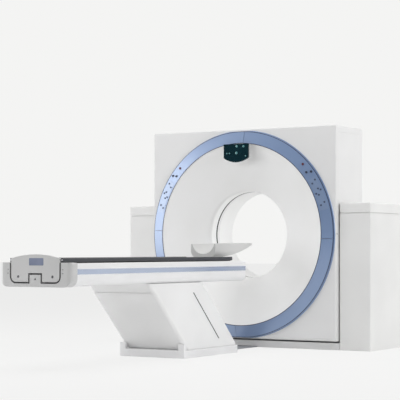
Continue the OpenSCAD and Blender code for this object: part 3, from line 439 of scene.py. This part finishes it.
def make_piece(name: str, shape: bmesh.types.BMesh, coating: Coating, body: str) -> bpy.types.Object:
    """Turns a finished bmesh into a piece that rides on a body.

    Args:
        name: Name of the piece.
        shape: The mesh, which is freed here.
        coating: What it is finished with.
        body: CAD body that it moves with.

    Returns:
        The new object.
    """
    bmesh.ops.remove_doubles(shape, verts=shape.verts, dist=MERGE_DISTANCE)
    bmesh.ops.recalc_face_normals(shape, faces=shape.faces)
    mesh = bpy.data.meshes.new(name)
    shape.to_mesh(mesh)
    shape.free()
    mesh.materials.append(coating.material())
    mesh.shade_smooth()
    mesh.set_sharp_from_angle(angle=SHARP_ANGLE)
    piece = bpy.data.objects.new(name, mesh)
    bpy.context.scene.collection.objects.link(piece)
    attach(piece, body)
    return piece


def spun_bead(shape: bmesh.types.BMesh, radius: float, depth: float, width: float, height: float) -> None:
    """Adds a rounded bead turned round the bore axis.

    Args:
        shape: Mesh to add to.
        radius: Distance of its middle from the axis.
        depth: Its middle along Y.
        width: Its radial width.
        height: Its size along Y.
    """
    verts = bmesh.ops.create_circle(shape, cap_ends=False, segments=BEAD_SIDES, radius=0.5)["verts"]
    bmesh.ops.scale(shape, verts=verts, vec=(width, height, 1.0))
    bmesh.ops.translate(shape, verts=verts, vec=(radius, depth, ISO_HEIGHT))
    edges = {edge for vert in verts for edge in vert.link_edges}
    bmesh.ops.spin(shape, geom=[*verts, *edges], cent=(0.0, 0.0, ISO_HEIGHT), axis=(0.0, 1.0, 0.0),
                   dvec=(0.0, 0.0, 0.0), angle=2.0 * math.pi, steps=BEAD_STEPS, use_merge=True,
                   use_duplicate=False)


def add_stud(shape: bmesh.types.BMesh, place: Matrix, radius: float, height: float, socket: float = 0.0,
             rim_share: float = 0.3, wall_share: float = 0.45) -> None:
    """Adds a round stud with a softened rim, standing on its own XY plane.

    Args:
        shape: Mesh to add to.
        place: Where its foot's middle goes and where its axis points.
        radius: Its radius.
        height: Its height.
        socket: Depth of the socket in its head, or 0 for none.
        rim_share: Softened width of its rim, as a share of its radius or height.
        wall_share: Width of the wall round its socket, as a share of its radius.
    """
    before = set(shape.verts)
    verts = bmesh.ops.create_cone(shape, cap_ends=True, segments=STUD_SIDES, radius1=radius, radius2=radius,
                                  depth=height)["verts"]
    bmesh.ops.translate(shape, verts=verts, vec=(0.0, 0.0, height / 2.0))
    faces = {face for vert in verts for face in vert.link_faces}
    head = max(faces, key=lambda face: face.calc_center_median().z)
    rim = list(head.edges)
    if socket > 0.0:
        bmesh.ops.inset_region(shape, faces=[head], thickness=radius * wall_share, use_even_offset=True)
        pushed = bmesh.ops.extrude_face_region(shape, geom=[head])["geom"]
        floor = [part for part in pushed if isinstance(part, bmesh.types.BMVert)]
        bmesh.ops.delete(shape, geom=[head], context="FACES_ONLY")
        bmesh.ops.translate(shape, verts=floor, vec=(0.0, 0.0, -socket))
    bmesh.ops.bevel(shape, geom=rim, offset=min(radius, height) * rim_share, offset_type="OFFSET",
                    segments=RIM_SEGMENTS, profile=0.5, affect="EDGES", material=-1)
    bmesh.ops.transform(shape, matrix=place, verts=[vert for vert in shape.verts if vert not in before])


def ring_place(radius: float, angle: float, lift: float) -> Matrix:
    """Gives a place on the slope of the coloured ring.

    Args:
        radius: Distance from the bore axis.
        angle: Degrees from the vertical, to the right when positive.
        lift: Height above the slope.

    Returns:
        The matrix whose +Z stands square on the slope.
    """
    depth = FRONT_Y - RING_STEP - (RING_OUTER - radius) * math.tan(RING_LEAN)
    turned = Matrix.Translation((0.0, 0.0, ISO_HEIGHT)) @ Matrix.Rotation(math.radians(angle), 4, "Y")
    square = Matrix.Rotation(math.radians(90.0) - RING_LEAN, 4, "X")
    return turned @ Matrix.Translation((0.0, depth, radius)) @ square @ Matrix.Translation((0.0, 0.0, lift))


@dataclass(frozen=True)
class KeyPair:
    """Two film keys, one nearer the bore than the other.

    Attributes:
        share: Place of their middle along the film's sweep, from 0 to 1.
        spread: Half of their distance across the ring.
        lean: Half of their distance along the sweep.
    """

    share: float
    spread: float
    lean: float


@dataclass
class RingTrim:
    """Dark beads along both edges of the ring, which are painted shade for the shadow gaps there, and the
    caps of its film keys.
    """

    bead_width: float = 0.0056
    inner_radius: float = RING_INNER - 0.0010
    inner_y: float = FRONT_Y - 0.0394
    inner_height: float = 0.0026
    outer_radius: float = RING_OUTER + 0.0018
    outer_y: float = FRONT_Y - 0.0166
    outer_height: float = 0.0034
    cap_radius: float = 0.0078
    cap_height: float = 0.0010
    cap_lift: float = 0.0034
    key_middle: float = 0.7805
    film_start: float = 56.0
    film_sweep: float = 20.0
    pairs: tuple[KeyPair, ...] = (
        KeyPair(0.12, 0.016, -0.03), KeyPair(0.82, 0.016, -0.03), KeyPair(0.45, 0.022, -0.03),
        KeyPair(0.45, -0.006, 0.09),
    )

    def build_edge_shade(self) -> bpy.types.Object:
        """Makes the dark beads along both edges of the ring, painted shade that stands in for the shadow
        gaps at its edges.

        Returns:
            The piece with both beads.
        """
        shape = bmesh.new()
        spun_bead(shape, self.inner_radius, self.inner_y, self.bead_width, self.inner_height)
        spun_bead(shape, self.outer_radius, self.outer_y, self.bead_width, self.outer_height)
        return make_piece("ring_edge_shade_beads", shape, RING_EDGE_SHADE, "gantry")

    def build_caps(self, word: str, side: float) -> bpy.types.Object:
        """Makes the dark caps on one side's film keys.

        Args:
            word: Name of the side.
            side: 1 on the right and -1 on the left.

        Returns:
            The piece with the side's caps.
        """
        shape = bmesh.new()
        for pair in self.pairs:
            for half in (-1.0, 1.0):
                angle = side * (self.film_start + self.film_sweep * (pair.share + pair.lean * half))
                place = ring_place(self.key_middle + pair.spread * half, angle, self.cap_lift)
                add_stud(shape, place, self.cap_radius, self.cap_height)
        return make_piece(f"key_caps_{word}", shape, KEY_CAP, "gantry")

    def build(self) -> list[bpy.types.Object]:
        """Builds the ring's trim.

        Returns:
            Its pieces.
        """
        return [self.build_edge_shade(), self.build_caps("left", -1.0), self.build_caps("right", 1.0)]


@dataclass
class BoreSlitShade:
    """Dark band round the bore over the slit at the scan window's front edge, painted shade that stands in
    for the shadow in the slit.
    """

    radius: float = 0.3499
    middle_y: float = WINDOW_Y - 0.003
    width: float = 0.018
    thickness: float = 0.0014

    def build(self) -> list[bpy.types.Object]:
        """Builds the band of painted slit shade.

        Returns:
            Its piece.
        """
        shape = bmesh.new()
        # Dark band inset in the slit: painted shade
        spun_bead(shape, self.radius, self.middle_y, self.thickness, self.width)
        return [make_piece("bore_slit_shade", shape, SEAL_AND_SLIT_SHADE_BLACK, "gantry")]


@dataclass(frozen=True)
class Mark:
    """One round mark of the display, placed from the top middle of its glass."""

    across: float
    down: float
    radius: float


@dataclass
class DisplayMarks:
    """Faint round marks on the display's face."""

    face_y: float = GLASS_LOW.y
    top: float = GLASS_HIGH.z
    sink: float = 0.0001
    height: float = 0.0007
    marks: tuple[Mark, ...] = (
        Mark(0.007, 0.019, 0.0095), Mark(0.069, 0.021, 0.0085), Mark(0.004, 0.072, 0.0110),
        Mark(-0.084, 0.074, 0.0060), Mark(-0.060, 0.074, 0.0060), Mark(0.088, 0.098, 0.0060),
    )

    def build(self) -> list[bpy.types.Object]:
        """Builds the marks.

        Returns:
            Their piece.
        """
        shape = bmesh.new()
        for mark in self.marks:
            place = Matrix.Translation((mark.across, self.face_y + self.sink, self.top - mark.down))
            add_stud(shape, place @ TO_FOOT, mark.radius, self.height)
        return [make_piece("display_marks", shape, DISPLAY_MARK, "gantry")]


@dataclass
class FootScrews:
    """Socket screws of the foot cap and the end plate, and the bright ends of the rails."""

    head_height: float = 0.003
    socket: float = 0.0018
    notch_screw_y: float = CAP_LOW.y + 0.0058
    notch_screw_z: float = 0.5925
    notch_screw_radius: float = 0.0062
    cap_screw_x: float = CAP_HIGH.x - 0.062
    cap_screw_y: float = CAP_LOW.y + 0.0048
    cap_screw_radius: float = 0.0034
    cap_screw_heights: tuple[float, ...] = (-0.010, 0.015)
    stripe_middle: float = (STRIPE_LOW.z + STRIPE_HIGH.z) / 2.0
    plate_screw_x: float = 0.71 * PLATE_HIGH.x
    plate_screw_y: float = PLATE_LOW.y + 0.0026
    plate_screw_z: float = PLATE_LOW.z + 0.034
    plate_screw_radius: float = 0.0080
    rail_end_x: float = RAIL_HIGH.x - 0.007
    rail_end_y: float = RAIL_LOW.y + 0.0002
    rail_end_z: float = RAIL_HIGH.z - 0.013
    rail_end_radius: float = 0.0062
    rail_end_length: float = 0.006

    def screw(self, shape: bmesh.types.BMesh, place: Point, radius: float) -> None:
        """Adds one socket screw that faces the foot end.

        Args:
            shape: Mesh to add to.
            place: Middle of the screw's seat.
            radius: Its radius.
        """
        add_stud(shape, Matrix.Translation(place) @ TO_FOOT, radius, self.head_height, self.socket)

    def build_cap_screws(self) -> bpy.types.Object:
        """Makes the screws of the foot cap.

        Returns:
            Their piece.
        """
        shape = bmesh.new()
        self.screw(shape, (0.0, self.notch_screw_y, self.notch_screw_z), self.notch_screw_radius)
        for side in (-1.0, 1.0):
            for rise in self.cap_screw_heights:
                place = (side * self.cap_screw_x, self.cap_screw_y, self.stripe_middle + rise)
                self.screw(shape, place, self.cap_screw_radius)
        return make_piece("cap_screws", shape, SCREW_STEEL, "table")

    def build_plate_screws(self) -> bpy.types.Object:
        """Makes the two screws of the end plate.

        Returns:
            Their piece.
        """
        shape = bmesh.new()
        for side in (-1.0, 1.0):
            place = (side * self.plate_screw_x, self.plate_screw_y, self.plate_screw_z)
            self.screw(shape, place, self.plate_screw_radius)
        return make_piece("plate_screws", shape, SCREW_STEEL, "cradle")

    def build_rail_ends(self) -> bpy.types.Object:
        """Makes the bright ends of both rails.

        Returns:
            Their piece.
        """
        shape = bmesh.new()
        for side in (-1.0, 1.0):
            place = Matrix.Translation((side * self.rail_end_x, self.rail_end_y, self.rail_end_z))
            add_stud(shape, place @ TO_FOOT, self.rail_end_radius, self.rail_end_length)
        return make_piece("rail_ends", shape, BRIGHT_STEEL, "cradle")

    def build(self) -> list[bpy.types.Object]:
        """Builds the screws and the rail ends.

        Returns:
            Their pieces.
        """
        return [self.build_cap_screws(), self.build_plate_screws(), self.build_rail_ends()]


@dataclass
class CapEdging:
    """Rubber edging on the foot cap, round the opening of the end plate."""

    seat_y: float = CAP_LOW.y
    top: float = CAP_HIGH.z - 0.002
    plate_half: float = PLATE_HIGH.x
    plate_bottom: float = PLATE_LOW.z
    corner: float = 0.036
    corner_steps: int = 8
    notch_half: float = 0.056
    notch_top: float = PLATE_LOW.z + 0.057
    gap: float = 0.0038
    width: float = 0.0062
    sink: float = 0.0001
    height: float = 0.0014

    def outline(self, offset: float) -> list[tuple[float, float]]:
        """Gives the line round the plate from its top right to its top left.

        Args:
            offset: Distance outside the plate's edge.

        Returns:
            Points (x, z) of the line.
        """
        reach = self.corner + offset
        right = [(self.plate_half + offset, self.top)]
        for step in range(self.corner_steps + 1):
            angle = math.radians(-90.0 * step / self.corner_steps)
            right.append((self.plate_half - self.corner + reach * math.cos(angle),
                          self.plate_bottom + self.corner + reach * math.sin(angle)))
        right.append((self.notch_half - offset, self.plate_bottom - offset))
        right.append((self.notch_half - offset, self.notch_top - offset))
        return right + [(-x, z) for x, z in reversed(right)]

    def build(self) -> list[bpy.types.Object]:
        """Builds the edging as a strip between two lines, raised from the cap's face.

        Returns:
            Its piece.
        """
        shape = bmesh.new()
        lines = []
        for offset in (self.gap, self.gap + self.width):
            verts = [shape.verts.new((x, self.seat_y + self.sink, z)) for x, z in self.outline(offset)]
            lines += [shape.edges.new(pair) for pair in zip(verts, verts[1:])]
        strip = bmesh.ops.bridge_loops(shape, edges=lines)["faces"]
        raised = bmesh.ops.extrude_face_region(shape, geom=strip, use_keep_orig=True)["geom"]
        front = [part for part in raised if isinstance(part, bmesh.types.BMVert)]
        bmesh.ops.translate(shape, verts=front, vec=(0.0, -self.sink - self.height, 0.0))
        return [make_piece("cap_edging", shape, SEAL_AND_SLIT_SHADE_BLACK, "table")]


@dataclass
class CadNodes:
    """The CAD nodes, which keep their meshes and get their finishes."""

    nodes: dict[str, bpy.types.Object]
    slots: dict[str, str]

    def dress(self) -> list[bpy.types.Object]:
        """Gives every node its finish.

        Returns:
            The nodes' objects.
        """
        for name, piece in self.nodes.items():
            coating = NODE_COATINGS.get(name) or SLOT_COATINGS[self.slots[name]]
            piece.data.materials.clear()
            piece.data.materials.append(coating.material())
        return list(self.nodes.values())


def seen_rays(tree: bpy.types.NodeTree) -> bpy.types.NodeSocket:
    """Tells the rays that show a surface from those that light with it.

    Args:
        tree: Tree of a material or of the world.

    Returns:
        Socket that is 1 for camera, glossy and transmission rays, and 0 for the others.
    """
    path = tree.nodes.new("ShaderNodeLightPath")
    value = path.outputs["Is Camera Ray"]
    for name in ("Is Glossy Ray", "Is Transmission Ray"):
        either = tree.nodes.new("ShaderNodeMath")
        either.operation = "MAXIMUM"
        tree.links.new(value, either.inputs[0])
        tree.links.new(path.outputs[name], either.inputs[1])
        value = either.outputs["Value"]
    return value


def add_stage(name: str, shape: bmesh.types.BMesh, material: bpy.types.Material) -> bpy.types.Object:
    """Turns a bmesh into an object of the studio, which isn't part of the scanner.

    Args:
        name: Name of the object.
        shape: The mesh, which is freed here.
        material: Its material.

    Returns:
        The new object.
    """
    mesh = bpy.data.meshes.new(name)
    shape.to_mesh(mesh)
    shape.free()
    mesh.materials.append(material)
    thing = bpy.data.objects.new(name, mesh)
    bpy.context.scene.collection.objects.link(thing)
    return thing


@dataclass(frozen=True)
class Lamp:
    """One soft square lamp, which the camera doesn't see."""

    name: str
    place: Point
    target: Point
    size: float
    power: float
    mirrored: bool = True

    def build(self) -> None:
        """Hangs the lamp and turns it to its target."""
        data = bpy.data.lights.new(self.name, "AREA")
        data.size = self.size
        data.energy = self.power
        lamp = bpy.data.objects.new(self.name, data)
        lamp.location = self.place
        lamp.rotation_euler = (Vector(self.target) - Vector(self.place)).to_track_quat("-Z", "Y").to_euler()
        lamp.visible_glossy = self.mirrored
        lamp.visible_camera = False
        bpy.context.scene.collection.objects.link(lamp)


@dataclass
class Studio:
    """Floor, dark flag, surrounding light, lamps and camera."""

    camera_place: Point = (5.7357, -10.3599, 0.7847)
    camera_turn: float = 31.3
    lens: float = 129.2
    sensor: float = 36.0
    shift: float = 0.124
    floor_half: float = 60.0
    floor_drop: float = 0.0005
    floor_colour: Colour = (0.86, 0.86, 0.855)
    floor_seen: Colour = (0.92, 0.92, 0.915)
    floor_share: float = 0.85
    matt: float = 0.9
    flag_size: Point = (17.0, 10.0, 1.0)
    flag_place: Point = (-1.5, -14.0, 5.0)
    flag_colour: Colour = (0.10, 0.10, 0.11)
    world_seen: Colour = (0.905, 0.905, 0.895)
    world_strength: float = 0.34
    lamps: tuple[Lamp, ...] = (
        Lamp("key_right", (7.5, -1.5, 3.2), (0.3, -0.3, 0.9), 5.0, 180.0),
        Lamp("left_soft", (-6.5, -5.0, 2.2), (-0.2, -0.6, 0.9), 4.0, 142.0),
        Lamp("front_fill", (-2.0, -9.0, 3.0), (0.0, -0.5, 0.9), 4.0, 104.0, mirrored=False),
        Lamp("overhead", (0.0, -1.5, 6.0), (0.0, -1.2, 0.0), 5.0, 170.0),
        Lamp("back_right", (3.4, 5.0, 2.3), (0.2, 0.0, 0.9), 3.0, 92.0, mirrored=False),
        Lamp("bore_back", (0.95, 1.7, 0.72), (-0.35, 0.0, 1.0), 0.9, 9.0, mirrored=False),
    )

    def floor_material(self) -> bpy.types.Material:
        """Builds the pale floor, which mostly shows its own colour and keeps a share of the shadows.

        Returns:
            The material.
        """
        nodes = NodeTree("studio_floor")
        nodes.even({"Base Color": (*self.floor_colour, 1.0), "Roughness": self.matt})
        share = nodes.add("ShaderNodeMath", operation="MULTIPLY")
        share.inputs[1].default_value = self.floor_share
        nodes.link(seen_rays(nodes.tree), share.inputs[0])
        glow = nodes.add("ShaderNodeEmission")
        glow.inputs["Color"].default_value = (*self.floor_seen, 1.0)
        mix = nodes.add("ShaderNodeMixShader")
        nodes.link(share.outputs["Value"], mix.inputs["Fac"])
        nodes.link(nodes.shader.outputs["BSDF"], mix.inputs[1])
        nodes.link(glow.outputs["Emission"], mix.inputs[2])
        nodes.link(mix.outputs["Shader"], nodes.tree.nodes["Material Output"].inputs["Surface"])
        return nodes.material

    def build_floor(self) -> None:
        """Makes the floor just under the scanner's feet."""
        shape = bmesh.new()
        bmesh.ops.create_grid(shape, x_segments=1, y_segments=1, size=self.floor_half)
        bmesh.ops.translate(shape, verts=shape.verts, vec=(0.0, 0.0, -self.floor_drop))
        add_stage("studio_floor", shape, self.floor_material())

    def build_flag(self) -> None:
        """Makes the dark flag behind the camera, which only reflections and soft light meet."""
        shape = bmesh.new()
        bmesh.ops.create_grid(shape, x_segments=1, y_segments=1, size=0.5)
        bmesh.ops.scale(shape, verts=shape.verts, vec=self.flag_size)
        bmesh.ops.transform(shape, verts=shape.verts, matrix=Matrix.Translation(self.flag_place) @ TO_FOOT)
        nodes = NodeTree("studio_flag")
        nodes.even({"Base Color": (*self.flag_colour, 1.0), "Roughness": self.matt})
        flag = add_stage("studio_flag", shape, nodes.material)
        flag.visible_camera = False

    def build_world(self) -> None:
        """Sets the even surrounding light, which shows as a pale backdrop."""
        world = bpy.data.worlds.new("studio_world")
        bpy.context.scene.world = world
        world.use_nodes = True
        tree = world.node_tree
        light = tree.nodes["Background"]
        light.inputs["Color"].default_value = (1.0, 1.0, 1.0, 1.0)
        light.inputs["Strength"].default_value = self.world_strength
        seen = tree.nodes.new("ShaderNodeBackground")
        seen.inputs["Color"].default_value = (*self.world_seen, 1.0)
        mix = tree.nodes.new("ShaderNodeMixShader")
        tree.links.new(seen_rays(tree), mix.inputs["Fac"])
        tree.links.new(light.outputs["Background"], mix.inputs[1])
        tree.links.new(seen.outputs["Background"], mix.inputs[2])
        tree.links.new(mix.outputs["Shader"], tree.nodes["World Output"].inputs["Surface"])

    def build_camera(self) -> None:
        """Places the camera at the photograph's angle."""
        data = bpy.data.cameras.new("studio_camera")
        data.lens = self.lens
        data.sensor_width = self.sensor
        data.shift_y = self.shift
        camera = bpy.data.objects.new("studio_camera", data)
        camera.location = self.camera_place
        camera.rotation_euler = (math.radians(90.0), 0.0, math.radians(self.camera_turn))
        bpy.context.scene.collection.objects.link(camera)
        bpy.context.scene.camera = camera

    def build(self) -> None:
        """Makes the whole studio and sets the plain view."""
        self.build_camera()
        self.build_floor()
        self.build_flag()
        self.build_world()
        for lamp in self.lamps:
            lamp.build()
        bpy.context.scene.view_settings.view_transform = "Standard"


def main() -> None:
    """Dresses the CAD nodes, builds the fittings and the studio, and reports each piece."""
    logging.basicConfig(level=logging.INFO, format="%(name)s: %(message)s")
    slots = {part["node"]: part["material_slot"] for part in frame["record"]["subparts"]}
    for piece in CadNodes(frame["nodes"], slots).dress():
        LOG.info("dressed %s", piece.name)
    for maker in (RingTrim(), BoreSlitShade(), DisplayMarks(), FootScrews(), CapEdging()):
        for piece in maker.build():
            LOG.info("made %s of %d faces", piece.name, len(piece.data.polygons))
    Studio().build()
    LOG.info("built the studio")


if __name__ == "__main__":
    main()
